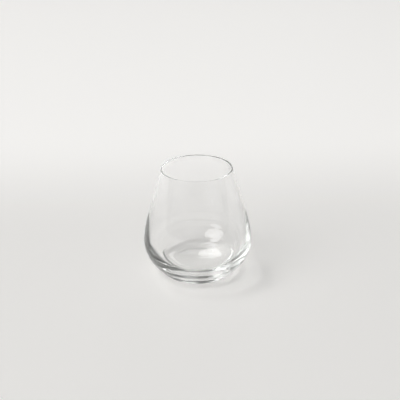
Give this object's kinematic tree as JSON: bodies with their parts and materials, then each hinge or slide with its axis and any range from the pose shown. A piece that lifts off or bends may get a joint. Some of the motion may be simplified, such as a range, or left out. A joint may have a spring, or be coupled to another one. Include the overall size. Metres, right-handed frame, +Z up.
{
  "type": "stemless wine glass",
  "caption": "Clear stemless wine glass: a round bowl that narrows to an open mouth, with a thin wall, a thick base and a low rounded foot.",
  "frame": {"origin": "on the axis of the glass, in the plane of the flat ring that rests on the table", "axes": "+Z up along the axis of the glass, from the foot to the mouth; X and Y are level, and the glass is the same all round"},
  "size_m": [0.095, 0.095, 0.0975],
  "materials": {
    "clear_glass": "polished clear soda-lime glass"
  },
  "bodies": {
    "root": {"glass": "clear_glass"}
  },
  "joints": []
}
